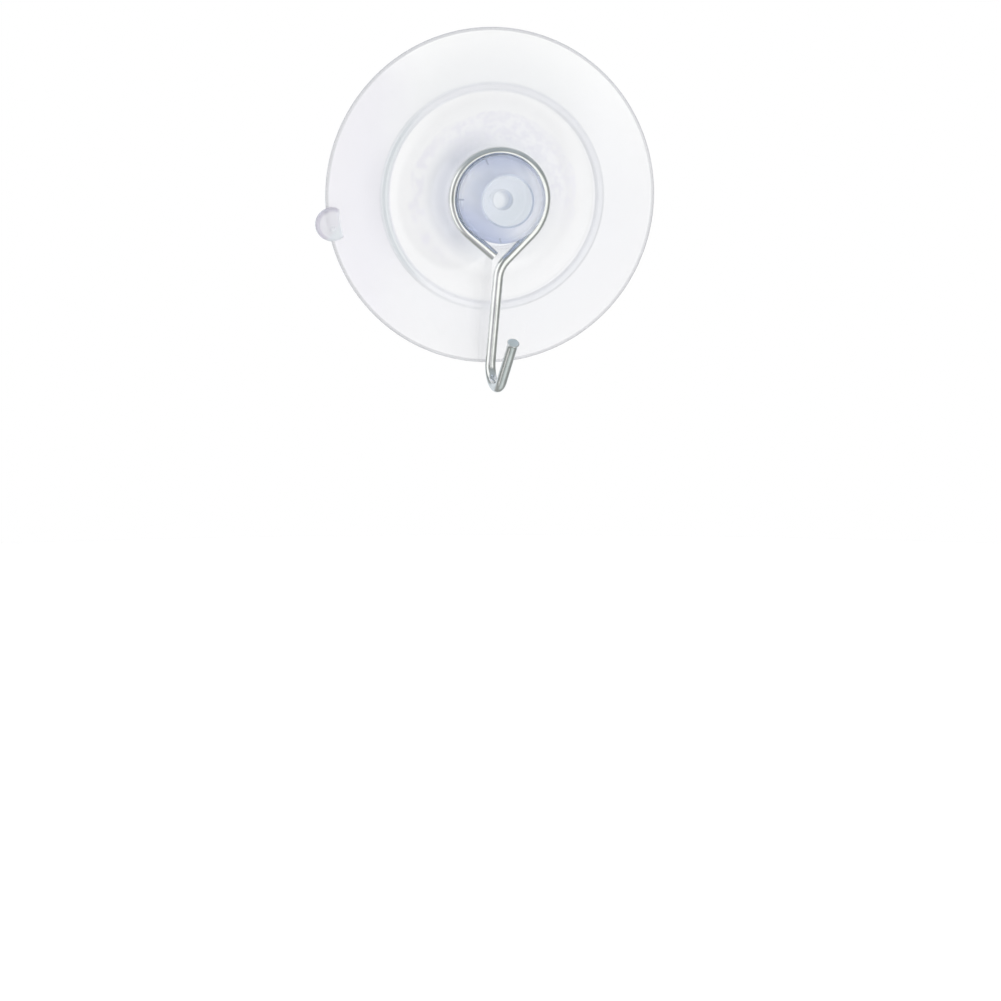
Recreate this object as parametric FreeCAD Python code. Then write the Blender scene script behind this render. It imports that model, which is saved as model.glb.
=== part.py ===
import FreeCAD, Part
import math
import os

from FreeCAD import Vector

# A window hook in two pieces. The suction cup is one soft, clear moulding: a thin round flange
# with a rib on its front, a crown that flares up to a neck, and a mushroom head. The hook is one
# bent wire: an open ring that is sprung over the head and turns on the neck, a shank that
# slants back towards the pane, and a J that curls forward below the rim.
#
# All sizes are in millimetres. The origin is the centre of the sealing face, in the plane y = 0,
# which faces +Y towards the pane. Depths are counted from there towards the head, so y = -depth.
# The hook hangs down along -Z.

# Flange and rim
rim_radius = 32.0
rim_thickness = 0.8
land_width = 0.8            # flat sealing band inside the rounded rim
flange_dip = 0.14           # how far the flange's front sags below a straight line
rib_outer_radius = 21.8
rib_width = 1.8
rib_height = 0.5
rib_draft = 0.45            # how much narrower the rib is at its top, on each side
rib_rounding = 0.3
crown_foot_depth = 1.95     # front of the moulding on both sides of the rib

# Crown, groove and head
crown_foot_slope = 4.0      # degrees, where the crown meets the rib
crown_foot_reach = 4.6      # how far the crown keeps close to that slope
flank_slope = 58.0          # degrees, just under the shoulder
flank_length = 0.8          # straight stretch of that flank
flank_reach = 3.4           # how far the crown keeps close to the flank's slope
shoulder_radius = 9.0
shoulder_depth = 7.9
shoulder_rounding = 0.3
neck_clearance = 0.08       # running clearance between the neck and the wire ring
groove_play = 0.1           # on each side of the wire, along the neck
groove_rounding = 0.2
head_overhang = 0.5         # how far the head reaches out past the ring's bore
lip_height = 2.0
lip_rounding = 0.25         # on both edges of the lip
lip_ledge = 0.75            # flat ledge between the lip and the cone
cone_height = 5.2
cone_rounding = 0.4
head_top_radius = 5.0

# Hollow behind the crown
web_thickness = 2.9         # solid left between the hollow's top and the shoulder
waist_drop = 1.4            # under the shoulder the hollow is this much shallower than its top
elbow_rise = 0.9            # how far the dish has lifted halfway to the shoulder
top_reach = 2.3             # how far the hollow's top stays flat round the core hole
core_mouth_radius = 2.05
core_end_radius = 1.95
core_length = 5.0
core_rounding = 0.1

# Lift tab on the rim
tab_radius = 3.2
tab_thickness = 2.0
tab_lift = 0.2              # the tab's back stands clear of the pane
tab_inset = 0.8             # the tab's centre lies this far inside the rim
tab_grip = 2.4              # the tab reaches this far in over the flange
tab_angle = 189.2           # degrees round the cup from +X towards +Z
tab_front_rounding = 0.85
tab_back_rounding = 0.3
gate_radius = 0.5
gate_height = 0.25
gate_rounding = 0.2
gate_offset = 0.8           # the gate mark lies this far below the tab's centre

# Wire hook
wire_radius = 1.0
ring_bore_radius = 7.8
ring_spread = 0.9           # the lower right quarter of the ring is this much slacker
free_arm_slope = 40.7       # degrees below the horizontal
long_arm_slope = 45.0
end_gap = 1.1               # between the cut end of the free arm and the long arm
corner_offset = -0.12       # X of the corner where the long arm turns into the shank
corner_bend_radius = 5.0
shank_lean = 0.78           # the shank's foot lies this far to the left of its top
shank_clearance = 1.25      # between the shank's foot and the front of the lift tab
foot_rise = 0.85            # the J starts this far above the bottom of the rim
hook_bend_radius = 3.8
hook_twist = 8.2            # degrees that the J is turned to the right of straight ahead
hook_turn = 154.7           # degrees from the shank round to the tip arm
tip_arm_length = 10.5
tip_radius = 1.15           # the sheared end is spread a little
tip_flare_length = 0.7
tip_rounding = 0.12

same = 1e-4                 # sizes closer than this count as equal

# Depths and radii that follow
ring_radius = ring_bore_radius + wire_radius
neck_radius = ring_bore_radius - neck_clearance
ring_depth = shoulder_depth + groove_play + wire_radius
lip_depth = ring_depth + wire_radius + groove_play
head_radius = ring_bore_radius + head_overhang
ledge_depth = lip_depth + lip_height
head_top_depth = ledge_depth + cone_height
rib_inner_radius = rib_outer_radius - rib_width
rim_rounding = rim_thickness / 2
land_outer_radius = rim_radius - rim_rounding
land_inner_radius = land_outer_radius - land_width
hollow_depth = shoulder_depth - web_thickness
waist_depth = hollow_depth - waist_drop
core_end_depth = hollow_depth + core_length
tab_seat_radius = rim_radius - tab_inset
tab_inner_radius = rim_radius - tab_grip
tab_front_depth = tab_lift + tab_thickness


def at(radius, depth):
    """A point of the cup's half section."""
    return Vector(radius, -depth, 0)


def slope(degrees):
    """The unit step of the half section that goes outwards and down towards the pane."""
    turn = math.radians(degrees)
    return at(math.cos(turn), -math.sin(turn))


def line(start, end):
    return Part.LineSegment(start, end).toShape()


def bezier(*poles):
    curve = Part.BezierCurve()
    curve.setPoles(list(poles))
    return curve.toShape()


def bend(before, corner, after, radius):
    """The arc that rounds a corner, with its two tangent points."""
    back = (before - corner).normalize()
    ahead = (after - corner).normalize()
    half_angle = back.getAngle(ahead) / 2
    cut = radius / math.tan(half_angle)
    inward = (back + ahead).normalize()
    middle = corner + inward * (radius / math.sin(half_angle) - radius)
    start = corner + back * cut
    end = corner + ahead * cut
    return start, Part.Arc(start, middle, end).toShape(), end


def rounded_run(points, roundings):
    """Straight edges through the points, with each inner corner rounded by its own radius."""
    edges = []
    last = points[0]
    for before, corner, after, radius in zip(points, points[1:], points[2:], roundings):
        start, arc, end = bend(before, corner, after, radius)
        edges += [line(last, start), arc]
        last = end
    edges.append(line(last, points[-1]))
    return edges


def flank_end():
    return at(shoulder_radius, shoulder_depth) + slope(flank_slope) * flank_length


def head_edges():
    """From the middle of the head's flat top, over the lip and the groove, to below the shoulder."""
    points = [
        at(0, head_top_depth),
        at(head_top_radius, head_top_depth),
        at(head_radius - lip_ledge, ledge_depth),
        at(head_radius, ledge_depth),
        at(head_radius, lip_depth),
        at(neck_radius, lip_depth),
        at(neck_radius, shoulder_depth),
        at(shoulder_radius, shoulder_depth),
        flank_end(),
    ]
    roundings = [
        cone_rounding,
        groove_rounding,
        lip_rounding,
        lip_rounding,
        groove_rounding,
        groove_rounding,
        shoulder_rounding,
    ]
    return rounded_run(points, roundings)


def crown_edges():
    """The flare from below the shoulder out to the rib, steep at first and then nearly flat."""
    top = flank_end()
    foot = at(rib_inner_radius, crown_foot_depth)
    steep = top + slope(flank_slope) * flank_reach
    flat = foot - slope(crown_foot_slope) * crown_foot_reach
    return [bezier(top, steep, flat, foot)]


def flange_edges():
    """The rib, then the flange thinning out to the rounded rim and the sealing band."""
    thick_end = at(rib_outer_radius, crown_foot_depth)
    thin_end = at(land_outer_radius, rim_thickness)
    middle = (thick_end + thin_end) / 2 - at(0, 2 * flange_dip)
    rib_top = crown_foot_depth + rib_height
    rib_points = [
        at(rib_inner_radius, crown_foot_depth),
        at(rib_inner_radius + rib_draft, rib_top),
        at(rib_outer_radius - rib_draft, rib_top),
        thick_end,
    ]
    rib = rounded_run(rib_points, [rib_rounding, rib_rounding])
    rim = Part.Arc(thin_end, at(rim_radius, rim_rounding), at(land_outer_radius, 0)).toShape()
    land = line(at(land_outer_radius, 0), at(land_inner_radius, 0))
    return rib + [bezier(thick_end, middle, thin_end), rim, land]


def hollow_edges():
    """The shallow dish that leaves the sealing band level, its deep middle and the core hole."""
    waist = at(shoulder_radius, waist_depth)
    mouth = at(core_mouth_radius, hollow_depth)
    core_tip = at(0, core_end_depth)
    elbow = at((rib_inner_radius + shoulder_radius) / 2, elbow_rise)
    dish = bezier(at(land_inner_radius, 0), at(rib_outer_radius, 0), elbow, waist)
    rising = waist + (waist - elbow) / 2
    middle = bezier(waist, rising, mouth + at(top_reach, 0), mouth)
    core = rounded_run([mouth, at(core_end_radius, core_end_depth), core_tip], [core_rounding])
    return [dish, middle] + core + [line(core_tip, at(0, head_top_depth))]


def round_pad(radius, back, front):
    """A disc at the tab's place on the rim, between two depths."""
    turn = math.radians(tab_angle)
    centre = Vector(tab_seat_radius * math.cos(turn), -back, tab_seat_radius * math.sin(turn))
    return Part.makeCylinder(radius, front - back, centre, Vector(0, -1, 0))


def edges_at_depth(solid, depth):
    """The edges of a disc that lie wholly in one plane across the cup's axis."""
    return [e for e in solid.Edges if abs(e.BoundBox.YMin + depth) + abs(e.BoundBox.YMax + depth) < same]


def lift_tab():
    """The round pad on the rim that a finger lifts, cut off in line with the rim on its inner
    side, with its gate mark."""
    pad = round_pad(tab_radius, tab_lift, tab_front_depth)
    pad = pad.makeFillet(tab_front_rounding, edges_at_depth(pad, tab_front_depth))
    pad = pad.makeFillet(tab_back_rounding, edges_at_depth(pad, tab_lift))
    pad = pad.cut(Part.makeCylinder(tab_inner_radius, tab_front_depth, Vector(0, 0, 0), Vector(0, -1, 0)))
    gate = round_pad(gate_radius, tab_lift + tab_thickness / 2, tab_front_depth + gate_height)
    gate = gate.makeFillet(gate_rounding, edges_at_depth(gate, tab_front_depth + gate_height))
    gate.translate(Vector(0, 0, -gate_offset))
    return pad.fuse(gate)


def make_suction_cup():
    outline = Part.Wire(head_edges() + crown_edges() + flange_edges() + hollow_edges())
    cup = Part.Face(outline).revolve(Vector(0, 0, 0), Vector(0, 1, 0), 360)
    return cup.fuse(lift_tab()).removeSplitter()


def ring_point(centre_x, radius, degrees):
    """A point of the ring's centre line, at an angle from +X towards +Z."""
    turn = math.radians(degrees)
    return Vector(centre_x + radius * math.cos(turn), -ring_depth, radius * math.sin(turn))


def arc_on_ring(centre_x, radius, start, end):
    points = [ring_point(centre_x, radius, a) for a in (start, (start + end) / 2, end)]
    return Part.Arc(*points).toShape()


def hook_route():
    """The wire's centre line as straight runs and tangent arcs, from the free end to the tip."""
    slack_radius = ring_radius + ring_spread
    free_angle = 270 - free_arm_slope
    long_angle = -long_arm_slope
    free_direction = Vector(math.sin(math.radians(-free_angle)), 0, math.cos(math.radians(free_angle)))
    long_direction = Vector(math.sin(math.radians(long_angle)), 0, -math.cos(math.radians(long_angle)))
    free_root = ring_point(0, ring_radius, free_angle)
    side = ring_point(0, ring_radius, 0)
    long_root = ring_point(-ring_spread, slack_radius, long_angle)

    # The free arm stops short of the long arm by the gap between them.
    across = Vector(-long_direction.z, 0, long_direction.x)
    room = (long_root - free_root).dot(across) - wire_radius - end_gap
    free_end = free_root + free_direction * (room / free_direction.dot(across))

    # The shank runs from the corner under the ring to a foot that clears the lift tab.
    corner = long_root + long_direction * ((corner_offset - long_root.x) / long_direction.x)
    foot_depth = tab_front_depth + shank_clearance + wire_radius
    foot = Vector(corner.x - shank_lean, -foot_depth, foot_rise - rim_radius)
    ahead = Vector(math.sin(math.radians(hook_twist)), -math.cos(math.radians(hook_twist)), 0)
    down = (foot - corner).normalize()
    corner_start, corner_arc, corner_end = bend(long_root, corner, foot, corner_bend_radius)

    # The J turns in the plane of the shank and the direction ahead.
    out = (ahead - down * ahead.dot(down)).normalize()

    def on_bend(degrees):
        turn = math.radians(degrees)
        return foot + (down * math.sin(turn) + out * (1 - math.cos(turn))) * hook_bend_radius

    turn = math.radians(hook_turn)
    tip_direction = down * math.cos(turn) + out * math.sin(turn)
    hook_end = on_bend(hook_turn)
    tip = hook_end + tip_direction * tip_arm_length
    edges = [
        line(free_end, free_root),
        arc_on_ring(0, ring_radius, free_angle, 0),
        arc_on_ring(-ring_spread, slack_radius, 0, long_angle),
        line(long_root, corner_start),
        corner_arc,
        line(corner_end, foot),
        Part.Arc(foot, on_bend(hook_turn / 2), hook_end).toShape(),
        line(hook_end, tip),
    ]
    return Part.Wire(edges), free_end, free_direction, tip, tip_direction


def make_wire_hook():
    route, free_end, free_direction, tip, tip_direction = hook_route()
    section = Part.Wire(Part.makeCircle(wire_radius, free_end, free_direction))
    wire = route.makePipeShell([section], True, False)
    flare = Part.makeCone(
        wire_radius, tip_radius, tip_flare_length, tip - tip_direction * tip_flare_length, tip_direction
    )
    end_edge = [e for e in flare.Edges if e.Closed and abs(e.Curve.Radius - tip_radius) < same]
    flare = flare.makeFillet(tip_rounding, end_edge[:1])
    swept = math.pi * wire_radius**2 * route.Length
    print(f"wire length {route.Length:.2f} mm, volume {wire.Volume:.2f}, section times length {swept:.2f}")
    return wire.fuse(flare).removeSplitter()


def main():
    os.makedirs("parts", exist_ok=True)
    pieces = {"suction_cup": make_suction_cup(), "wire_hook": make_wire_hook()}
    for name, shape in pieces.items():
        solid = shape.Solids[0]
        print(f"{name}: solids {len(shape.Solids)}, valid {solid.isValid()}, volume {solid.Volume:.1f}")
        print(f"  box {solid.BoundBox}, centre {solid.CenterOfMass}")
        solid.exportStep(f"parts/{name}.step")
    common = pieces["suction_cup"].common(pieces["wire_hook"])
    print(f"shared volume at rest {common.Volume:.5f}")


main()
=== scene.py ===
"""A clear suction cup with a bent wire hook: its surfaces, finishes, studio and camera.

Sizes are in millimetres and become metres where a mesh is made. Depths of the cup are counted
from its sealing face towards the head, so that y = -depth.
"""

import math

import bpy
import numpy as np
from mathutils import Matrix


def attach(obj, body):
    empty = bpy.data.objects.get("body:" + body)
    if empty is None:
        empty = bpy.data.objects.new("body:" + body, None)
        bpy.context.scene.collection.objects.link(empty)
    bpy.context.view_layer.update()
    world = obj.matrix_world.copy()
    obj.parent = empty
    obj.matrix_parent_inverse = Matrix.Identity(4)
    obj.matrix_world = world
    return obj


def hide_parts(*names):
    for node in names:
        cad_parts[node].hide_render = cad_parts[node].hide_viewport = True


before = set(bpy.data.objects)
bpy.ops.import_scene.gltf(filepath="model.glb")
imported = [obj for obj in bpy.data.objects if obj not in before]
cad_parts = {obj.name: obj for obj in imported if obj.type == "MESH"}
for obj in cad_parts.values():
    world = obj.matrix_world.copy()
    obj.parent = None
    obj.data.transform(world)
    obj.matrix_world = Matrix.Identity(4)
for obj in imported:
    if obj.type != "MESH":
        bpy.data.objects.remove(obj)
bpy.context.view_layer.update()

MM = 0.001

# Cup: flange and rim
rim_radius = 32.0
rim_thickness = 0.8
land_width = 0.8
flange_dip = 0.14
rib_outer_radius = 21.8
rib_width = 1.8
rib_height = 0.5
rib_draft = 0.45
rib_rounding = 0.3
crown_foot_depth = 1.95

# Cup: crown, groove and head
crown_foot_slope = 4.0
crown_foot_reach = 4.6
flank_slope = 58.0
flank_length = 0.8
flank_reach = 3.4
shoulder_radius = 9.0
shoulder_depth = 7.9
shoulder_rounding = 0.3
neck_clearance = 0.08
groove_play = 0.1
groove_rounding = 0.2
head_overhang = 0.5
lip_height = 2.0
lip_rounding = 0.25
lip_ledge = 0.75
cone_height = 5.2
cone_rounding = 0.4
head_top_radius = 5.0

# Cup: hollow behind the crown
web_thickness = 2.9
waist_drop = 1.4
elbow_rise = 0.9
top_reach = 2.3
core_mouth_radius = 2.05
core_end_radius = 1.95
core_length = 5.0
core_rounding = 0.1

# Cup: lift tab
tab_radius = 3.2
tab_thickness = 2.0
tab_lift = 0.2
tab_inset = 0.8
tab_grip = 2.4
tab_angle = 189.2
tab_front_rounding = 0.85
tab_back_rounding = 0.3
gate_radius = 0.5
gate_height = 0.25
gate_rounding = 0.2
gate_back_rounding = 0.05
gate_offset = 0.8

# Wire hook
wire_radius = 1.0
ring_bore_radius = 7.8
ring_spread = 0.9
free_arm_slope = 40.7
long_arm_slope = 45.0
end_gap = 1.1
corner_offset = -0.12
corner_bend_radius = 5.0
shank_lean = 0.78
shank_clearance = 1.25
foot_rise = 0.85
hook_bend_radius = 3.8
hook_twist = 8.2
hook_turn = 154.7
tip_arm_length = 10.5
tip_radius = 1.15
tip_flare_length = 0.7
tip_rounding = 0.12
free_end_rounding = 0.08

# How finely the surfaces are divided
turns = 288
crown_steps = 44
flange_steps = 26
rim_steps = 13
land_steps = 3
dish_steps = 56
middle_steps = 16
corner_steps = 5
head_spacing = 0.5
rib_spacing = 0.3
pad_spacing = 0.4
pad_sides = 64
wire_sides = 48
wire_step = 0.2
slack_steps = 40
elbow_steps = 30
cup_sharp_angle = 32
wire_sharp_angle = 50

# Marks on the vinyl. An edge is the pair of values that a soft edge runs between, and a direction is
# (to the right, upwards).
nick_places = [(-7.9, 0.1, 0), (-0.5, -7.6, 115), (-3.0, 7.1, 110)]  # (side, up, angle) of each middle
nick_length = 1.1
nick_width = 0.2
low_right = (0.7, -0.7)
tab_bevel = 0.8
tab_low_edge = (0.5, 2.5)
flange_up_edge = (-5, 26)
drift_wander = 12.0
drift_edge = (20, 30)
rib_fade_direction = (-0.4, -0.9)
rib_fade_edge = (18.5, 20.7)
rib_left_edge = (-19, -12)
rib_shade_line_radius = 21.0
crown_up_direction = (-0.35, 0.85)
crown_up_edge = (-8, 13)
crown_neck_edge = (13, 15.5)
crown_front_slope = 0.44
crown_front_edge = (9.0, 9.3)
bloom_wander = 3.0
mottle_edge = (0.42, 0.58)
worm_direction = (0.5, 0.85)
worm_side_edge = (0, 7)
worm_inner_edge = (9.6, 11.5)
worm_outer_edge = (15.9, 16.3)
blob_side_edge = (-13, -8)
blob_inner_edge = (13.6, 14.4)
blob_outer_edge = (15.8, 16.3)
shade_direction = (-0.95, 0.1)
shade_side_edge = (-1, 9)
shade_inner_edge = (8.0, 9.5)
shade_outer_edge = (9.8, 14.5)
cone_low_direction = (-0.55, -0.8)
cone_low_edge = (2.5, 7)
cone_top_edge = (4, 7.5)
face_side_edge = (-3, 3)
face_edge_shade_side_edge = (-2, 1.5)
core_fade_radius = 1.55
crescent_shift = 1.2
crescent_edge = (1.1, 2.1)

# Patterns per millimetre, on the vinyl
patch_scale = 0.26
worm_scale = 0.8
blob_scale = 0.45
drift_scale = 0.06
wave_scale = 0.09

# Finish and colours of the vinyl
vinyl_finish = {
    "Transmission Weight": 0.88,
    "IOR": 1.52,
    "Coat Weight": 1.0,
    "Coat IOR": 1.42,
    "Coat Roughness": 0.04,
}
patch_edge = (0.3, 0.7)
vinyl_roughness = (0.03, 0.07)
bloom_roughness = 0.12
satin_roughness = 0.2
cone_roughness = 0.7
tab_roughness = 0.5
vinyl_body_tone = (0.56, 0.67, 0.88, 1)
vinyl_density = 55.0
flange_low_tone = (0.93, 0.926, 0.93, 1)
flange_high_tone = (1, 1, 0.99, 1)
flange_left_tone = (0.905, 0.893, 0.922, 1)
crown_low_tone = (0.935, 0.93, 0.925, 1)
crown_high_tone = (1, 0.995, 0.985, 1)
rib_tone = (0.88, 0.88, 0.893, 1)
# Painted shade on the rib's left side: a darker satin tone and a fine line
rib_left_shade_tone = (0.81, 0.835, 0.84, 1)
rib_shade_line_tone = (0.66, 0.69, 0.71, 1)
rim_tone = (0.74, 0.74, 0.755, 1)
neck_shade_tone = (0.745, 0.755, 0.8, 1)
bloom_tone = (0.9, 0.885, 0.93, 1)
face_light_tone = (0.86, 0.865, 0.83, 1)
face_dark_tone = (0.755, 0.77, 0.72, 1)
# Painted shade along the rounded edge of the head's flat top
face_edge_shade_tone = (0.47, 0.51, 0.57, 1)
cone_clear_tone = (1, 1, 1, 1)
# Painted shade on the head's cone, tinted blue
cone_painted_shade_tone = (0.56, 0.61, 0.79, 1)
tab_tone = (0.85, 0.84, 0.86, 1)
tab_low_tone = (0.84, 0.87, 0.88, 1)
# Painted shade on the tab's bevelled edge
bevel_shade_tone = (0.7, 0.66, 0.74, 1)
nick_tone = (0.4, 0.43, 0.52, 1)
core_end_tone = (1, 1, 1, 1)
crescent_tone = (0.42, 0.46, 0.58, 1)

# Finish and colours of the wire, whose UV map is in centimetres
uv_unit = 10.0
drawn_line_scale = (1.5, 90.0, 1.0)
cloud_scale = 350.0
cloud_stops = (0.3, 0.75)
cloud_edge = (0.3, 0.7)
plate_roughness = (0.08, 0.16)
line_roughness = 0.14
sheared_roughness = 0.4
line_height = 0.3
cloud_height = 0.4
plate_dull_tone = (0.72, 0.74, 0.73, 1)
plate_bright_tone = (0.86, 0.87, 0.86, 1)
sheared_tone = (0.95, 1.0, 1.0, 1)

# Studio: the left, right, bottom and top edges of its boxes and other edges, as angles in degrees
# from -Y to +X and as heights from -1 to 1
right_box_edges = [(-13, -5), (36, 66), (-0.998, -0.97), (0.04, 0.28)]
left_box_edges = [(-108, -98), (-62, -52), (-0.82, -0.62), (0.5, 0.75)]
low_wall_edges = [(-70, -55), (-16, -8), (-0.85, -0.75), (-0.25, -0.1)]
behind_side_edge = (132, 150)
behind_bottom_edge = (-0.6, -0.4)
behind_top_edge = (0.6, 0.9)
ceiling_edge = (0.0, 0.8)
floor_edge = (-0.97, -0.86)
backdrop_edge = (-0.14, 0.02)
side_room_edge = (0.2, 0.6)
soft_edge = (-0.2, 0.8)

# Studio: what the metal reflects, what shows through the clear parts, and soft light
white = (1, 1, 1, 1)
wall_tone = (0.33, 0.34, 0.33, 1)
ceiling_tone = (0.42, 0.46, 0.49, 1)
floor_tone = (0.62, 0.68, 0.68, 1)
low_wall_tone = (0.52, 0.51, 0.54, 1)
right_box_tone = (1.3, 1.3, 1.27, 1)
left_box_tone = (1.3, 1.3, 1.3, 1)
behind_tone = (0.8, 0.85, 0.9, 1)
backdrop_low_tone = (0.99, 0.99, 0.99, 1)
backdrop_high_tone = (0.9, 0.9, 0.9, 1)
side_room_tone = (1.1, 1.14, 1.3, 1)
soft_low_tone = (0.5, 0.52, 0.58, 1)
soft_high_tone = (0.75, 0.77, 0.82, 1)
floor_radius = 2500.0
floor_drop = 500.0
floor_sides = 128

# Sizes that follow
ring_radius = ring_bore_radius + wire_radius
neck_radius = ring_bore_radius - neck_clearance
ring_depth = shoulder_depth + groove_play + wire_radius
lip_depth = ring_depth + wire_radius + groove_play
head_radius = ring_bore_radius + head_overhang
ledge_depth = lip_depth + lip_height
head_top_depth = ledge_depth + cone_height
rib_inner_radius = rib_outer_radius - rib_width
rim_rounding = rim_thickness / 2
land_outer_radius = rim_radius - rim_rounding
land_inner_radius = land_outer_radius - land_width
hollow_depth = shoulder_depth - web_thickness
waist_depth = hollow_depth - waist_drop
core_end_depth = hollow_depth + core_length
tab_seat_radius = rim_radius - tab_inset
tab_inner_radius = rim_radius - tab_grip
tab_front_depth = tab_lift + tab_thickness

# Camera
image_side = 1001
lens = 112.1
sensor = 36.0
camera_distance = 600.0
camera_azimuth = -10.5
camera_elevation = 3.6
rim_centre_pixel = (490.9, 195.8)


def unit(v):
    return v / np.linalg.norm(v, axis=-1, keepdims=True)


def straight(start, end, count):
    """Points spaced evenly from start to end, the end included and the start left out."""
    share = np.linspace(0, 1, count + 1)[1:, None]
    return start + (end - start) * share


def bezier(poles, count):
    """Points of a Bezier curve: each pole weighted by its Bernstein polynomial, start left out."""
    t = np.linspace(0, 1, count + 1)[1:, None]
    degree = len(poles) - 1
    weights = [math.comb(degree, k) * t**k * (1 - t) ** (degree - k) for k in range(degree + 1)]
    return sum(w * p for w, p in zip(weights, poles))


def corner_arc(before, corner, after, radius, count):
    """The arc tangent to both sides of a corner: its centre lies on the bisector, and its points are
    centre + radius (cos a, sin a) between the two tangent points."""
    back = unit(before - corner)
    ahead = unit(after - corner)
    half = math.acos(np.clip(back @ ahead, -1, 1)) / 2
    bisector = unit(back + ahead)
    centre = corner + bisector * radius / math.sin(half)
    side = unit(ahead - back)
    swing = math.pi / 2 - half
    turn = np.linspace(-swing, swing, count + 1)[:, None]
    return centre + radius * (side * np.sin(turn) - bisector * np.cos(turn))


def rounded_run(points, radii, spacing):
    """Straight runs through the points with rounded corners, start left out."""
    parts = []
    last = points[0]
    for before, corner, after, radius in zip(points, points[1:], points[2:], radii):
        arc = corner_arc(before, corner, after, radius, corner_steps)
        run = max(1, round(float(np.linalg.norm(arc[0] - last)) / spacing))
        parts += [straight(last, arc[0], run), arc[1:]]
        last = arc[-1]
    run = max(1, round(float(np.linalg.norm(points[-1] - last)) / spacing))
    parts.append(straight(last, points[-1], run))
    return np.vstack(parts)


def at(radius, depth):
    return np.array([radius, depth], float)


def slope(degrees):
    turn = math.radians(degrees)
    return at(math.cos(turn), -math.sin(turn))


def cup_section():
    """The cup's half section as (radius, depth) rows, from the middle of the head's top round to
    the end of the core hole: rounded straight runs, Bezier curves and the half circle of the rim."""
    flank_end = at(shoulder_radius, shoulder_depth) + slope(flank_slope) * flank_length
    head = rounded_run(
        [
            at(0, head_top_depth),
            at(head_top_radius, head_top_depth),
            at(head_radius - lip_ledge, ledge_depth),
            at(head_radius, ledge_depth),
            at(head_radius, lip_depth),
            at(neck_radius, lip_depth),
            at(neck_radius, shoulder_depth),
            at(shoulder_radius, shoulder_depth),
            flank_end,
        ],
        [
            cone_rounding,
            groove_rounding,
            lip_rounding,
            lip_rounding,
            groove_rounding,
            groove_rounding,
            shoulder_rounding,
        ],
        head_spacing,
    )
    crown_foot = at(rib_inner_radius, crown_foot_depth)
    crown = bezier(
        [
            flank_end,
            flank_end + slope(flank_slope) * flank_reach,
            crown_foot - slope(crown_foot_slope) * crown_foot_reach,
            crown_foot,
        ],
        crown_steps,
    )
    thick_end = at(rib_outer_radius, crown_foot_depth)
    thin_end = at(land_outer_radius, rim_thickness)
    rib_top = crown_foot_depth + rib_height
    rib = rounded_run(
        [
            crown_foot,
            at(rib_inner_radius + rib_draft, rib_top),
            at(rib_outer_radius - rib_draft, rib_top),
            thick_end,
        ],
        [rib_rounding, rib_rounding],
        rib_spacing,
    )
    dipped = (thick_end + thin_end) / 2 - at(0, 2 * flange_dip)
    flange = bezier([thick_end, dipped, thin_end], flange_steps)
    turn = np.linspace(90, -90, rim_steps)[1:, None] * math.pi / 180
    rim = at(land_outer_radius, rim_rounding) + rim_rounding * np.hstack([np.cos(turn), np.sin(turn)])
    land_inner = at(land_inner_radius, 0)
    land = straight(at(land_outer_radius, 0), land_inner, land_steps)
    waist = at(shoulder_radius, waist_depth)
    mouth = at(core_mouth_radius, hollow_depth)
    elbow = at((rib_inner_radius + shoulder_radius) / 2, elbow_rise)
    dish = bezier([land_inner, at(rib_outer_radius, 0), elbow, waist], dish_steps)
    middle = bezier([waist, waist + (waist - elbow) / 2, mouth + at(top_reach, 0), mouth], middle_steps)
    core_tip = at(0, core_end_depth)
    core = rounded_run([mouth, at(core_end_radius, core_end_depth), core_tip], [core_rounding], head_spacing)
    start = at(0, head_top_depth)[None, :]
    return np.vstack([start, head, crown, rib, flange, rim, land, dish, middle, core])


def mesh_object(name, points, faces):
    """An object at the origin whose mesh has these points, in millimetres, and faces."""
    mesh = bpy.data.meshes.new(name)
    mesh.from_pydata((np.asarray(points) * MM).tolist(), [], faces)
    mesh.update()
    piece = bpy.data.objects.new(name, mesh)
    bpy.context.scene.collection.objects.link(piece)
    return piece


def ring_faces(rows, columns, first):
    """Quads between neighbouring rows of a grid whose columns close on themselves."""
    row, column = np.meshgrid(np.arange(rows - 1), np.arange(columns), indexing="ij")
    after = (column + 1) % columns
    near = first + row * columns
    far = near + columns
    return np.stack([near + column, near + after, far + after, far + column], -1).reshape(-1, 4).tolist()


def fan_faces(pole, ring, columns, flip):
    """Triangles from a pole to a closed ring that starts at index ring."""
    column = np.arange(columns)
    after = (column + 1) % columns
    pair = [ring + after, ring + column] if flip else [ring + column, ring + after]
    return np.stack([np.full(columns, pole), *pair], -1).tolist()


def turn_outwards(piece):
    """Flips every face if the enclosed volume comes out negative."""
    mesh = piece.data
    mesh.calc_loop_triangles()
    corners = np.zeros(len(mesh.loop_triangles) * 3, int)
    mesh.loop_triangles.foreach_get("vertices", corners)
    points = np.zeros(len(mesh.vertices) * 3)
    mesh.vertices.foreach_get("co", points)
    a, b, c = points.reshape(-1, 3)[corners.reshape(-1, 3)].transpose(1, 0, 2)
    if np.sum(a * np.cross(b, c)) < 0:
        mesh.flip_normals()


def spin(name, section, columns):
    """A closed body of revolution about the Y axis. Row i, column j is
    (r_i cos a_j, -depth_i, r_i sin a_j) with a_j = 2 pi j / columns; the first and last rows are
    poles on the axis."""
    angle = np.arange(columns) * 2 * math.pi / columns
    inner = section[1:-1]
    radius = inner[:, :1]
    depth = np.repeat(inner[:, 1:], columns, axis=1)
    grid = np.stack([radius * np.cos(angle), -depth, radius * np.sin(angle)], -1).reshape(-1, 3)
    poles = np.array([[0, -section[0, 1], 0], [0, -section[-1, 1], 0]])
    points = np.vstack([grid, poles])
    count = len(inner)
    faces = ring_faces(count, columns, 0)
    faces += fan_faces(len(grid), 0, columns, True)
    faces += fan_faces(len(grid) + 1, (count - 1) * columns, columns, False)
    piece = mesh_object(name, points, faces)
    turn_outwards(piece)
    return piece


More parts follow.
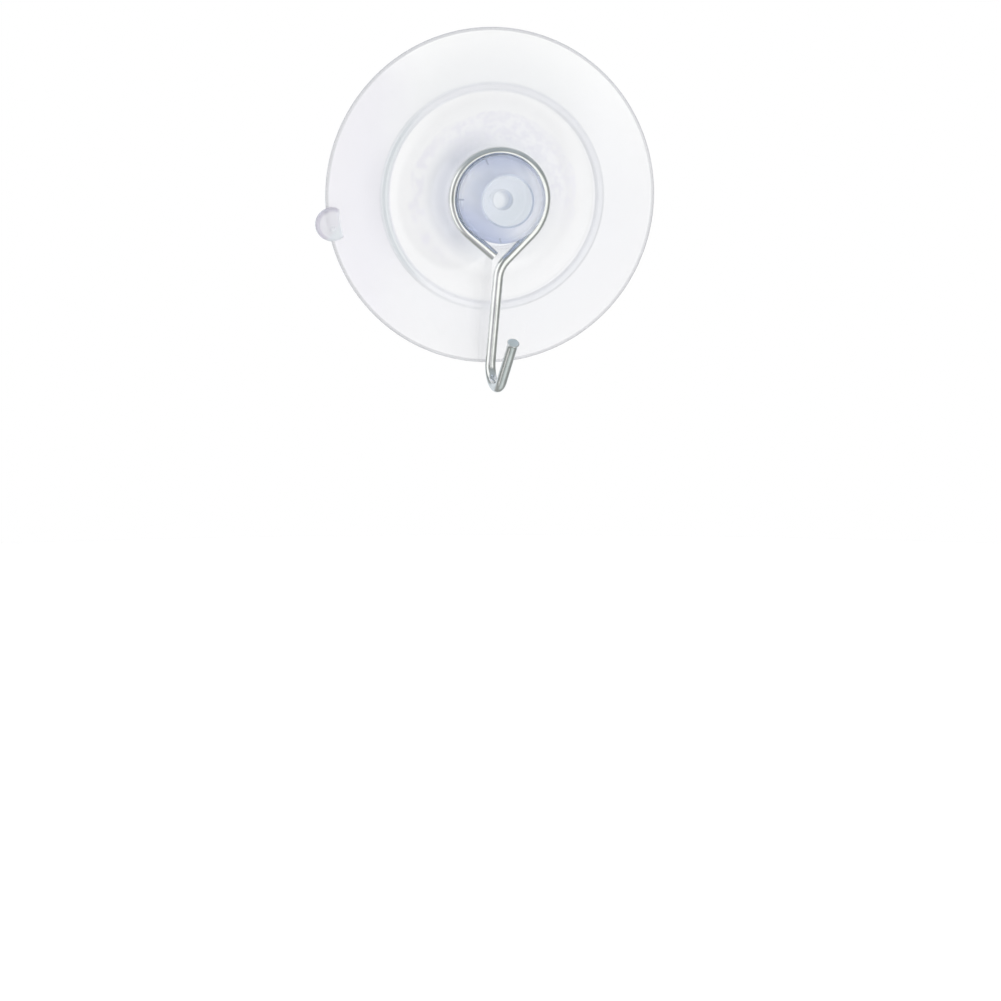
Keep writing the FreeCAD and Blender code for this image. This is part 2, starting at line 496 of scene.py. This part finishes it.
def shade_smooth(piece, sharp_degrees):
    mesh = piece.data
    mesh.polygons.foreach_set("use_smooth", np.ones(len(mesh.polygons), bool))
    mesh.set_sharp_from_angle(angle=math.radians(sharp_degrees))
    mesh.update()


def pad(name, radius, back, front, back_rounding, front_rounding, drop):
    """A round pad at the tab's place: a disc's section with two rounded corners, spun about its own
    axis and then moved."""
    section = rounded_run(
        [at(0, front), at(radius, front), at(radius, back), at(0, back)],
        [front_rounding, back_rounding],
        pad_spacing,
    )
    section = np.vstack([at(0, front)[None, :], section])
    piece = spin(name, section, pad_sides)
    turn = math.radians(tab_angle)
    shift = np.array([math.cos(turn), 0, math.sin(turn)]) * tab_seat_radius
    shift[2] -= drop
    points = np.zeros(len(piece.data.vertices) * 3)
    piece.data.vertices.foreach_get("co", points)
    points = points.reshape(-1, 3) + shift * MM
    piece.data.vertices.foreach_set("co", points.ravel())
    return piece


def combine(base, other, operation):
    """Unites the base with another closed body, or cuts that body away from it; the other one is used
    up."""
    change = base.modifiers.new("change", "BOOLEAN")
    change.operation = operation
    change.solver = "EXACT"
    change.object = other
    bpy.context.view_layer.update()
    solid = bpy.data.meshes.new_from_object(base.evaluated_get(bpy.context.evaluated_depsgraph_get()))
    base.modifiers.clear()
    base.data = solid
    bpy.data.objects.remove(other)


def make_tab():
    """The round lift tab, cut off by a cylinder on its inner side, with its gate mark."""
    tab = pad("tab", tab_radius, tab_lift, tab_front_depth, tab_back_rounding, tab_front_rounding, 0)
    front = tab_front_depth + tab_lift
    back = -tab_lift
    cutter = [at(0, front), at(tab_inner_radius, front), at(tab_inner_radius, back), at(0, back)]
    combine(tab, spin("cutter", np.array(cutter), 4 * turns), "DIFFERENCE")
    gate_back = tab_front_depth - gate_height
    gate_front = tab_front_depth + gate_height
    gate = pad("gate", gate_radius, gate_back, gate_front, gate_back_rounding, gate_rounding, gate_offset)
    combine(tab, gate, "UNION")
    return tab


def make_cup():
    cup = spin("clear_cup", cup_section(), turns)
    combine(cup, make_tab(), "UNION")
    shade_smooth(cup, cup_sharp_angle)
    return cup


def on_ring(centre_x, radius, degrees):
    """Points of the ring's centre line at angles from +X towards +Z."""
    turn = np.radians(np.atleast_1d(degrees))[:, None]
    return np.hstack([centre_x + radius * np.cos(turn), turn * 0 - ring_depth, radius * np.sin(turn)])


def steps(length):
    return max(2, round(float(length) / wire_step))


def hook_route():
    """The wire's centre line from the free end to the tip, and a side vector across it at each
    point. Straight runs join tangent arcs: point = centre + radius (cos a u + sin a v)."""
    slack_radius = ring_radius + ring_spread
    free_angle = 270 - free_arm_slope
    free_turn = math.radians(free_angle)
    long_turn = math.radians(-long_arm_slope)
    free_direction = np.array([-math.sin(free_turn), 0, math.cos(free_turn)])
    long_direction = np.array([math.sin(long_turn), 0, -math.cos(long_turn)])
    free_root = on_ring(0, ring_radius, free_angle)[0]
    long_root = on_ring(-ring_spread, slack_radius, -long_arm_slope)[0]
    across = np.array([-long_direction[2], 0, long_direction[0]])
    room = (long_root - free_root) @ across - wire_radius - end_gap
    free_end = free_root + free_direction * room / (free_direction @ across)
    corner = long_root + long_direction * (corner_offset - long_root[0]) / long_direction[0]
    foot_depth = tab_front_depth + shank_clearance + wire_radius
    foot = np.array([corner[0] - shank_lean, -foot_depth, foot_rise - rim_radius])
    twist = math.radians(hook_twist)
    ahead = np.array([math.sin(twist), -math.cos(twist), 0])
    down = unit(foot - corner)
    out = unit(ahead - down * (ahead @ down))

    slack_arc = on_ring(-ring_spread, slack_radius, np.linspace(0, -long_arm_slope, slack_steps))
    ring_steps = steps(free_turn * ring_radius)
    ring_arc = on_ring(0, ring_radius, np.linspace(free_angle, 0, ring_steps))
    elbow = corner_arc(long_root, corner, foot, corner_bend_radius, elbow_steps)
    hook_steps = steps(math.radians(hook_turn) * hook_bend_radius)
    turn = np.radians(np.linspace(0, hook_turn, hook_steps))[:, None]
    hook = foot + (down * np.sin(turn) + out * (1 - np.cos(turn))) * hook_bend_radius
    tip_direction = down * np.cos(turn[-1]) + out * np.sin(turn[-1])
    tip = hook[-1] + tip_direction * tip_arm_length
    upper = np.vstack(
        [
            free_end[None, :],
            straight(free_end, free_root, steps(np.linalg.norm(free_end - free_root))),
            ring_arc[1:],
            slack_arc[1:],
            straight(long_root, elbow[0], steps(np.linalg.norm(long_root - elbow[0]))),
            elbow[1:],
        ]
    )
    shank = straight(elbow[-1], foot, steps(np.linalg.norm(foot - elbow[-1])))
    lower = np.vstack([hook[1:], straight(hook[-1], tip, steps(tip_arm_length))])
    points = np.vstack([upper, shank, lower])
    tangent = unit(np.gradient(points, axis=0))
    from_ring = np.cross(tangent, [0, 1, 0])
    from_hook = np.broadcast_to(np.cross(out, down), tangent.shape)
    along_shank = np.linspace(0, 1, len(shank))
    share = np.concatenate([np.zeros(len(upper)), along_shank, np.ones(len(lower))])[:, None]
    side = from_ring * (1 - share) + from_hook * share
    side = unit(side - tangent * np.sum(side * tangent, axis=1, keepdims=True))
    return points, tangent, side


def make_hook():
    """The wire as a tube: point = centre + radius (cos a side + sin a (tangent x side)). At both
    ends more rings close it, with a rounded edge, and the radius grows towards the tip."""
    points, tangent, side = hook_route()
    run = np.concatenate([[0], np.cumsum(np.linalg.norm(np.diff(points, axis=0), axis=1))])
    to_tip = run[-1] - run
    radius = np.full(len(points), wire_radius)
    flare = np.clip(1 - to_tip / tip_flare_length, 0, 1)
    radius = radius + (tip_radius - wire_radius) * flare**2 * (3 - 2 * flare)
    bevel = np.linspace(0, math.pi / 2, 6)
    keep = (run > free_end_rounding) & (to_tip > tip_rounding)

    def cap(end, rounding, rim, direction):
        """Rings from the wire's side over a rounded edge onto its flat end."""
        inset = rounding * (1 - np.sin(bevel))
        small = rim - rounding * (1 - np.cos(bevel))
        centre = points[end] - direction * tangent[end] * inset[:, None]
        flat = np.array([0.75, 0.5, 0.25]) * small[-1]
        centre = np.vstack([centre, np.repeat(points[end][None, :], len(flat), axis=0)])
        return centre, np.concatenate([small, flat])

    first_centre, first_radius = cap(0, free_end_rounding, wire_radius, -1)
    last_centre, last_radius = cap(-1, tip_rounding, tip_radius, 1)
    count = len(first_radius)

    def with_ends(rows):
        """The kept rows, with the first and the last row repeated for the closed ends."""
        return np.vstack([np.repeat(rows[:1], count, 0), rows[keep], np.repeat(rows[-1:], count, 0)])

    centre = np.vstack([first_centre[::-1], points[keep], last_centre])
    radius = np.concatenate([first_radius[::-1], radius[keep], last_radius])
    over_end = run[-1] + tip_radius - last_radius
    travel = np.concatenate([np.zeros(count), run[keep], over_end])
    across = with_ends(side)
    third = np.cross(with_ends(tangent), across)
    angle = (np.arange(wire_sides) * 2 * math.pi / wire_sides)[None, :, None]
    spoke = across[:, None, :] * np.cos(angle) + third[:, None, :] * np.sin(angle)
    grid = centre[:, None, :] + spoke * radius[:, None, None]
    rows = len(centre)
    body = np.vstack([grid.reshape(-1, 3), points[:1], points[-1:]])
    faces = ring_faces(rows, wire_sides, 0)
    faces += fan_faces(rows * wire_sides, 0, wire_sides, True)
    faces += fan_faces(rows * wire_sides + 1, (rows - 1) * wire_sides, wire_sides, False)
    hook = mesh_object("plated_hook", body, faces)
    turn_outwards(hook)
    add_wire_uv(hook, np.append(travel, [0, run[-1] + tip_radius]))
    shade_smooth(hook, wire_sharp_angle)
    return hook


def add_wire_uv(hook, travel):
    """A UV map in centimetres: u runs along the wire, and on over the sheared end to its middle,
    and v runs round it."""
    mesh = hook.data
    layer = mesh.uv_layers.new(name="wire")
    index = np.zeros(len(mesh.loops), int)
    mesh.loops.foreach_get("vertex_index", index)
    girth = 2 * math.pi * wire_radius / uv_unit
    rows = len(travel) - 2
    ring = np.where(index < rows * wire_sides, index // wire_sides, index - rows * wire_sides + rows)
    u = travel[ring] / uv_unit
    v = (index % wire_sides) / wire_sides * girth
    layer.data.foreach_set("uv", np.stack([u, v], -1).ravel())


def new_material(name):
    material = bpy.data.materials.new(name)
    material.use_nodes = True
    tree = material.node_tree
    return material, tree, tree.nodes["Principled BSDF"], tree.nodes["Material Output"]


def plug(tree, socket, value):
    """Links a socket to another one's output, or sets its own value."""
    if isinstance(value, bpy.types.NodeSocket):
        tree.links.new(value, socket)
    else:
        socket.default_value = value


def add(tree, kind, **inputs):
    """A node with the sockets named in inputs set; an underscore in a name stands for a space."""
    node = tree.nodes.new(kind)
    for name, value in inputs.items():
        plug(tree, node.inputs[name.replace("_", " ")], value)
    return node


def calc(tree, operation, a, b=0.0, c=0.0):
    """A Math node's output."""
    node = tree.nodes.new("ShaderNodeMath")
    node.operation = operation
    for socket, value in zip(node.inputs, (a, b, c)):
        plug(tree, socket, value)
    return node.outputs[0]


def times(tree, a, b):
    return calc(tree, "MULTIPLY", a, b)


def minus(tree, a, b):
    return calc(tree, "SUBTRACT", a, b)


def larger(tree, a, b):
    return calc(tree, "MAXIMUM", a, b)


def lean(tree, side, up, direction):
    """How far a place lies in a direction (right, high): side times right plus up times high."""
    right, high = direction
    return calc(tree, "MULTIPLY_ADD", side, right, times(tree, up, high))


def reach(tree, a, b):
    """The length of the vector (a, b)."""
    return calc(tree, "SQRT", calc(tree, "MULTIPLY_ADD", a, a, times(tree, b, b)))


def spread(tree, value, edge, levels):
    """A value mapped smoothly: the first level before a soft edge and the second one past it. An
    edge is the pair of values that it runs between."""
    node = tree.nodes.new("ShaderNodeMapRange")
    node.interpolation_type = "SMOOTHSTEP"
    tree.links.new(value, node.inputs["Value"])
    for name, number in zip(("From Min", "From Max", "To Min", "To Max"), (*edge, *levels)):
        node.inputs[name].default_value = number
    return node.outputs["Result"]


def grows(tree, value, edge):
    """0 before a soft edge and 1 past it."""
    return spread(tree, value, edge, (0.0, 1.0))


def fades(tree, value, edge):
    """1 before a soft edge and 0 past it."""
    return spread(tree, value, edge, (1.0, 0.0))


def window(tree, value, first, last):
    """1 between two soft edges and 0 outside them."""
    return times(tree, grows(tree, value, first), fades(tree, value, last))


def blend(tree, share, first, second):
    """A colour mixed from two colours or sockets."""
    node = tree.nodes.new("ShaderNodeMix")
    node.data_type = "RGBA"
    for value, name in ((share, "Factor_Float"), (first, "A_Color"), (second, "B_Color")):
        plug(tree, next(i for i in node.inputs if i.identifier == name), value)
    return next(o for o in node.outputs if o.identifier == "Result_Color")


def noise(tree, place, scale, detail, distortion=0.0):
    node = add(tree, "ShaderNodeTexNoise", Vector=place, Scale=scale, Detail=detail, Distortion=distortion)
    return node.outputs["Fac"]


def cup_place(tree):
    """Where a point of the cup lies, in millimetres: as a vector, to the right, upwards, in front
    of the sealing face and away from the axis."""
    place = add(tree, "ShaderNodeTexCoord").outputs["Object"]
    spot = add(tree, "ShaderNodeMapping", Vector=place, Scale=(1 / MM, 1 / MM, 1 / MM)).outputs["Vector"]
    apart = add(tree, "ShaderNodeSeparateXYZ", Vector=spot)
    side = apart.outputs["X"]
    up = apart.outputs["Z"]
    depth = times(tree, apart.outputs["Y"], -1.0)
    return spot, side, up, depth, reach(tree, side, up)


def vinyl_bloom(tree, spot, side, up, radius, depth):
    """Where the crown's front is hazed: worm-like marks on the upper right of a ring with wavy
    edges, and a narrow patchy band on its left."""
    patches = noise(tree, spot, patch_scale, 3.0)
    wavy = calc(tree, "ADD", calc(tree, "MULTIPLY_ADD", patches, bloom_wander, radius), -bloom_wander / 2)
    front = grows(tree, calc(tree, "MULTIPLY_ADD", radius, crown_front_slope, depth), crown_front_edge)
    worms = spread(tree, noise(tree, spot, worm_scale, 3.0, 1.2), mottle_edge, (0.25, 1.0))
    upper_right = grows(tree, lean(tree, side, up, worm_direction), worm_side_edge)
    arc = times(tree, window(tree, wavy, worm_inner_edge, worm_outer_edge), upper_right)
    blobs = spread(tree, noise(tree, spot, blob_scale, 2.0), mottle_edge, (0.1, 1.0))
    left = fades(tree, side, blob_side_edge)
    band = times(tree, window(tree, wavy, blob_inner_edge, blob_outer_edge), left)
    haze = larger(tree, times(tree, arc, worms), times(tree, band, blobs))
    return times(tree, haze, front)


def tab_marks(tree, side, up, radius):
    """Where the lift tab is, how far to its lower right a point lies, and painted shade on its bevelled
    edge, faint on the lower right.
    """
    turn = math.radians(tab_angle)
    tab_side = minus(tree, side, tab_seat_radius * math.cos(turn))
    tab_up = minus(tree, up, tab_seat_radius * math.sin(turn))
    away = reach(tree, tab_side, tab_up)
    outline = fades(tree, away, (tab_radius, tab_radius + 0.1))
    tab = times(tree, outline, grows(tree, radius, (tab_inner_radius, tab_inner_radius + 0.5)))
    low = grows(tree, minus(tree, tab_side, tab_up), tab_low_edge)
    # Painted shade on the tab's bevelled edge, strongest on its upper left
    bevel = times(tree, tab, grows(tree, away, (tab_radius - tab_bevel, tab_radius - tab_bevel + 0.3)))
    bevel = times(tree, bevel, calc(tree, "MULTIPLY_ADD", low, -0.85, 1.0))
    return tab, low, bevel


def rib_marks(tree, side, up, radius):
    """Where the rib's satin top is, which is fainter low on the left, how far to the left a point lies,
    where the satin takes a painted shade, and a fine line of painted shade there."""
    low_left = lean(tree, side, up, rib_fade_direction)
    middle = (rib_inner_radius + rib_outer_radius) / 2
    away = calc(tree, "ABSOLUTE", minus(tree, radius, middle))
    satin = fades(tree, away, (rib_width / 2 - rib_draft, rib_width / 2 - 0.2))
    satin = times(tree, satin, spread(tree, low_left, rib_fade_edge, (1.0, 0.3)))
    left = fades(tree, side, rib_left_edge)
    # A fine line of painted shade on the rib's left side
    inner_edge = (rib_shade_line_radius - 0.25, rib_shade_line_radius - 0.1)
    outer_edge = (rib_shade_line_radius + 0.1, rib_shade_line_radius + 0.25)
    line = times(tree, window(tree, radius, inner_edge, outer_edge), left)
    return satin, left, line


def nick_marks(tree, side, up):
    """Short straight marks on the head, each at its own place and angle."""
    marks = None
    for middle_side, middle_up, degrees in nick_places:
        turn = math.radians(degrees)
        right = minus(tree, side, middle_side)
        above = minus(tree, up, middle_up)
        along = calc(tree, "ABSOLUTE", lean(tree, right, above, (math.cos(turn), math.sin(turn))))
        across = calc(tree, "ABSOLUTE", lean(tree, right, above, (math.sin(turn), -math.cos(turn))))
        long = fades(tree, along, (nick_length / 2 - 0.1, nick_length / 2))
        mark = times(tree, long, fades(tree, across, (nick_width / 2, nick_width)))
        marks = mark if marks is None else larger(tree, marks, mark)
    return marks


def face_edge_shade_mark(tree, radius, to_low_right):
    """Painted shade along the rounded edge of the head's flat top, strongest on its lower right."""
    inner_edge = (head_top_radius - 0.5, head_top_radius - 0.3)
    outer_edge = (head_top_radius - 0.05, head_top_radius + 0.1)
    line = window(tree, radius, inner_edge, outer_edge)
    return times(tree, line, spread(tree, to_low_right, face_edge_shade_side_edge, (0.1, 1.0)))


def core_marks(tree, side, up, radius, depth):
    """The end of the core hole, which is fainter towards its wall, and a shaded crescent on its
    right."""
    start = (core_end_depth - 0.3, core_end_depth - 0.2)
    stop = (core_end_depth + 0.2, core_end_depth + 0.3)
    wall_fade = spread(tree, radius, (core_fade_radius, core_end_radius), (1.0, 0.3))
    end = times(tree, window(tree, depth, start, stop), wall_fade)
    end = times(tree, end, fades(tree, radius, (core_end_radius + 0.05, core_end_radius + 0.15)))
    from_left = reach(tree, calc(tree, "ADD", side, crescent_shift), up)
    crescent = times(tree, grows(tree, from_left, crescent_edge), end)
    return end, crescent


def flange_colour(tree, spot, side, up):
    """Paler upwards, and lavender in a wavy stretch on the left."""
    pale = blend(tree, grows(tree, up, flange_up_edge), flange_low_tone, flange_high_tone)
    drift = minus(tree, times(tree, noise(tree, spot, drift_scale, 2.0), drift_wander), side)
    return blend(tree, grows(tree, drift, drift_edge), pale, flange_left_tone)


def crown_colour(tree, side, up, radius):
    """Whiter towards the upper left and round the neck."""
    aloft = grows(tree, lean(tree, side, up, crown_up_direction), crown_up_edge)
    whiter = larger(tree, aloft, fades(tree, radius, crown_neck_edge))
    return blend(tree, whiter, crown_low_tone, crown_high_tone)


def cone_colour(tree, side, up):
    """Clear, with painted shade tinted blue low on the left and near the top."""
    low = grows(tree, lean(tree, side, up, cone_low_direction), cone_low_edge)
    painted_shade = larger(tree, low, spread(tree, up, cone_top_edge, (0.0, 0.75)))
    return blend(tree, painted_shade, cone_clear_tone, cone_painted_shade_tone)


def clear_vinyl():
    """Clear soft vinyl: bent light, a faint blue in the thick head, a hazy bloom on the crown, a
    satin rib, a greyer rim and tab, nicks on the head, and painted shade beside the neck, on the rib's
    left, on the tab's bevel, on the head's cone, along the edge of its top and in a crescent in the
    core hole. Each layer of colour covers the ones before it where its mark is 1."""
    material, tree, shader, output = new_material("clear_vinyl")
    for name, value in vinyl_finish.items():
        shader.inputs[name].default_value = value
    spot, side, up, depth, radius = cup_place(tree)
    to_low_right = lean(tree, side, up, low_right)

    bloom = vinyl_bloom(tree, spot, side, up, radius, depth)
    tab, tab_low, bevel = tab_marks(tree, side, up, radius)
    satin, rib_left, rib_shade_line = rib_marks(tree, side, up, radius)
    rim = times(tree, grows(tree, radius, (rim_radius - 0.7, rim_radius - 0.5)), minus(tree, 1.0, tab))
    crown = fades(tree, radius, (rib_inner_radius - 0.5, rib_inner_radius))
    left_of_neck = grows(tree, lean(tree, side, up, shade_direction), shade_side_edge)
    shade = times(tree, left_of_neck, window(tree, radius, shade_inner_edge, shade_outer_edge))
    front = grows(tree, depth, (lip_depth, lip_depth + 0.5))
    cone = times(tree, front, grows(tree, radius, (head_top_radius - 0.6, head_top_radius + 0.1)))
    face_edge_shade = times(tree, face_edge_shade_mark(tree, radius, to_low_right), front)
    nick = times(tree, nick_marks(tree, side, up), front)
    core_end, crescent = core_marks(tree, side, up, radius, depth)
    face_colour = blend(tree, grows(tree, to_low_right, face_side_edge), face_light_tone, face_dark_tone)

    colour = flange_colour(tree, spot, side, up)
    layers = [
        (crown, crown_colour(tree, side, up, radius)),
        # painted shade on the rib's left: a darker satin tone and a fine line
        (satin, blend(tree, rib_left, rib_tone, rib_left_shade_tone)),
        (rib_shade_line, rib_shade_line_tone),
        (rim, rim_tone),
        (shade, neck_shade_tone),
        (bloom, bloom_tone),
        (front, face_colour),
        # painted shade, tinted blue, low on the left and near the top of the cone
        (cone, cone_colour(tree, side, up)),
        # painted shade along the rounded edge of the head's top
        (face_edge_shade, face_edge_shade_tone),
        (tab, blend(tree, tab_low, tab_tone, tab_low_tone)),
        # painted shade on the tab's bevelled edge
        (bevel, bevel_shade_tone),
        (nick, nick_tone),
        (core_end, core_end_tone),
        (crescent, crescent_tone),
    ]
    for mark, tone in layers:
        colour = blend(tree, mark, colour, tone)
    tree.links.new(colour, shader.inputs["Base Color"])

    rough = spread(tree, noise(tree, spot, patch_scale, 3.0), patch_edge, vinyl_roughness)
    rougher = [
        (bloom, bloom_roughness),
        (satin, satin_roughness),
        (cone, cone_roughness),
        (tab, tab_roughness),
    ]
    for mark, amount in rougher:
        rough = calc(tree, "MULTIPLY_ADD", mark, amount, rough)
    tree.links.new(rough, shader.inputs["Roughness"])
    waves = noise(tree, spot, wave_scale, 1.0)
    bump = add(tree, "ShaderNodeBump", Height=waves, Distance=0.001, Strength=0.1)
    tree.links.new(bump.outputs["Normal"], shader.inputs["Normal"])
    tint = add(tree, "ShaderNodeVolumeAbsorption", Color=vinyl_body_tone, Density=vinyl_density)
    tree.links.new(tint.outputs["Volume"], output.inputs["Volume"])
    return material


def wire_length(hook):
    """The length of the wire in millimetres, from its UV map, which runs on over the sheared end."""
    corners = hook.data.uv_layers["wire"].data
    uv = np.zeros(len(corners) * 2)
    corners.foreach_get("uv", uv)
    return uv[::2].max() * uv_unit - tip_radius


def plated_wire(length):
    """Bright zinc plate over drawn wire: fine lines along it, cloudy patches and a duller, bluish
    sheared end."""
    material, tree, shader, _ = new_material("plated_wire")
    shader.inputs["Metallic"].default_value = 1.0
    wire_map = add(tree, "ShaderNodeUVMap")
    wire_map.uv_map = "wire"
    along = wire_map.outputs["UV"]
    stretched = add(tree, "ShaderNodeMapping", Vector=along, Scale=drawn_line_scale).outputs["Vector"]
    lines = noise(tree, stretched, 1.0, 4.0)
    place = add(tree, "ShaderNodeTexCoord").outputs["Object"]
    clouds = noise(tree, place, cloud_scale, 3.0)
    ramp = tree.nodes.new("ShaderNodeValToRGB")
    stops = zip(ramp.color_ramp.elements, cloud_stops, (plate_dull_tone, plate_bright_tone))
    for stop, position, tone in stops:
        stop.position = position
        stop.color = tone
    tree.links.new(clouds, ramp.inputs["Fac"])
    run = add(tree, "ShaderNodeSeparateXYZ", Vector=along).outputs["X"]
    edge = ((length + 0.5 * tip_rounding) / uv_unit, (length + 1.5 * tip_rounding) / uv_unit)
    sheared = grows(tree, run, edge)
    colour = blend(tree, sheared, ramp.outputs["Color"], sheared_tone)
    tree.links.new(colour, shader.inputs["Base Color"])
    rough = spread(tree, clouds, cloud_edge, plate_roughness)
    rough = calc(tree, "MULTIPLY_ADD", lines, line_roughness, rough)
    rough = calc(tree, "MULTIPLY_ADD", sheared, sheared_roughness, rough)
    tree.links.new(rough, shader.inputs["Roughness"])
    height = calc(tree, "ADD", times(tree, lines, line_height), times(tree, clouds, cloud_height))
    bump = add(tree, "ShaderNodeBump", Height=height, Distance=0.00004, Strength=0.5)
    tree.links.new(bump.outputs["Normal"], shader.inputs["Normal"])
    return material


def dress(piece, material, body, node):
    piece.data.materials.clear()
    piece.data.materials.append(material)
    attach(piece, body)
    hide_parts(node)


def soft_box(tree, angle, height, left, right, bottom, top):
    """1 inside a box on the studio's wall and 0 outside it; each side is a soft edge."""
    return times(tree, window(tree, angle, left, right), window(tree, height, bottom, top))


def make_studio():
    """A white backdrop that the camera sees everywhere. The object's metal reflects two soft boxes,
    a greyer low wall between them, a light wall behind and darker gaps, and its clear parts show a
    light backdrop and a bluish room at the sides. Angles are counted from -Y to +X, and heights are
    from -1 to 1."""
    world = bpy.data.worlds.new("studio")
    bpy.context.scene.world = world
    world.use_nodes = True
    world.cycles.sampling_method = "NONE"
    tree = world.node_tree
    direction = add(tree, "ShaderNodeTexCoord").outputs["Generated"]
    apart = add(tree, "ShaderNodeSeparateXYZ", Vector=direction)
    height = apart.outputs["Z"]
    ahead = times(tree, apart.outputs["Y"], -1.0)
    angle = times(tree, calc(tree, "ARCTAN2", apart.outputs["X"], ahead), 180 / math.pi)
    away = calc(tree, "ABSOLUTE", angle)

    right_box = soft_box(tree, angle, height, *right_box_edges)
    left_box = soft_box(tree, angle, height, *left_box_edges)
    low_wall = soft_box(tree, angle, height, *low_wall_edges)
    behind = window(tree, height, behind_bottom_edge, behind_top_edge)
    behind = times(tree, grows(tree, away, behind_side_edge), behind)
    metal = blend(tree, grows(tree, height, ceiling_edge), wall_tone, ceiling_tone)
    reflected = [
        (fades(tree, height, floor_edge), floor_tone),
        (low_wall, low_wall_tone),
        (right_box, right_box_tone),
        (left_box, left_box_tone),
        (behind, behind_tone),
    ]
    for mark, tone in reflected:
        metal = blend(tree, mark, metal, tone)

    facing = calc(tree, "ABSOLUTE", apart.outputs["Y"])
    backdrop = blend(tree, grows(tree, height, backdrop_edge), backdrop_low_tone, backdrop_high_tone)
    clear = blend(tree, grows(tree, facing, side_room_edge), side_room_tone, backdrop)
    soft = blend(tree, grows(tree, height, soft_edge), soft_low_tone, soft_high_tone)

    ray = add(tree, "ShaderNodeLightPath")
    seen = blend(tree, ray.outputs["Is Transmission Ray"], metal, clear)
    seen = blend(tree, ray.outputs["Is Diffuse Ray"], seen, soft)
    seen = blend(tree, ray.outputs["Is Camera Ray"], seen, white)
    tree.links.new(seen, tree.nodes["Background"].inputs["Color"])


def make_floor():
    """A wide round pale floor well below the object, with a faint mottle."""
    turn = np.arange(floor_sides) * 2 * math.pi / floor_sides
    height = np.full(floor_sides, -floor_drop)
    rim = np.stack([floor_radius * np.cos(turn), floor_radius * np.sin(turn), height], -1)
    floor = mesh_object("floor", rim, [tuple(range(floor_sides))])
    material, tree, shader, _ = new_material("pale_floor")
    mottle = add(tree, "ShaderNodeTexNoise", Scale=6.0, Detail=2.0).outputs["Fac"]
    tree.links.new(spread(tree, mottle, (0.2, 0.8), (0.5, 0.6)), shader.inputs["Roughness"])
    shader.inputs["Base Color"].default_value = (0.9, 0.9, 0.9, 1)
    floor.data.materials.append(material)
    floor.visible_glossy = False
    floor.visible_transmission = False


def add_lamp(name, size, power, azimuth, elevation, distance, colour=(1.0, 1.0, 1.0)):
    """A square lamp that faces the origin and is seen by matt surfaces alone. Its place is given by
    an azimuth from -Y towards +X, an elevation and a distance, in degrees and metres."""
    data = bpy.data.lights.new(name, "AREA")
    data.shape = "SQUARE"
    data.size = size
    data.energy = power
    data.color = colour
    lamp = bpy.data.objects.new(name, data)
    turn = math.radians(azimuth)
    rise = math.radians(elevation)
    lamp.location = (
        distance * math.sin(turn) * math.cos(rise),
        -distance * math.cos(turn) * math.cos(rise),
        distance * math.sin(rise),
    )
    lamp.rotation_euler = (math.pi / 2 - rise, 0, turn)
    lamp.visible_camera = False
    lamp.visible_glossy = False
    lamp.visible_transmission = False
    bpy.context.scene.collection.objects.link(lamp)
    return lamp


def make_lamps():
    """A large soft key to the right of the camera, and a wide lamp just under the object that
    lights only the floor."""
    warm = (1.0, 0.99, 0.97)
    add_lamp("key_light", size=0.4, power=6.5, azimuth=25, elevation=-12, distance=1.0, colour=warm)
    floor_lamp = add_lamp("floor_light", size=5.0, power=95.0, azimuth=0, elevation=-90, distance=0.1)
    floor_lamp.rotation_euler = (0, 0, 0)


def make_camera():
    """A camera at the photograph's angle, turned so that the rim's centre falls on its pixel. With
    the direction to that centre w and its place on the picture p, yaw and pitch follow from
    w . right = p . x and from the angle between w and the picture's axis."""
    azimuth = math.radians(camera_azimuth)
    elevation = math.radians(camera_elevation)
    level_share = math.cos(elevation)
    back = np.array([math.sin(azimuth) * level_share, -math.cos(azimuth) * level_share, math.sin(elevation)])
    focal = lens / sensor * image_side
    x = rim_centre_pixel[0] - image_side / 2
    y = image_side / 2 - rim_centre_pixel[1]
    to_x, to_y, to_z = unit(np.array([x, y, focal]))
    level = math.hypot(back[0], back[1])
    yaw = math.atan2(-back[0], -back[1]) - math.asin(to_x / level)
    forward = math.sqrt(level**2 - to_x**2)
    pitch = math.atan2(-back[2], forward) - math.atan2(to_y, to_z)
    data = bpy.data.cameras.new("camera")
    data.lens = lens
    data.sensor_width = sensor
    data.clip_start = 0.01
    data.clip_end = 20
    camera = bpy.data.objects.new("camera", data)
    camera.location = back * camera_distance * MM
    camera.rotation_euler = (math.pi / 2 + pitch, 0, -yaw)
    bpy.context.scene.collection.objects.link(camera)
    bpy.context.scene.camera = camera


make_camera()
make_studio()
make_floor()
make_lamps()
bpy.context.scene.view_settings.view_transform = "Standard"
dress(make_cup(), clear_vinyl(), "cup", "suction_cup")
hook = make_hook()
dress(hook, plated_wire(wire_length(hook)), "hook", "wire_hook")
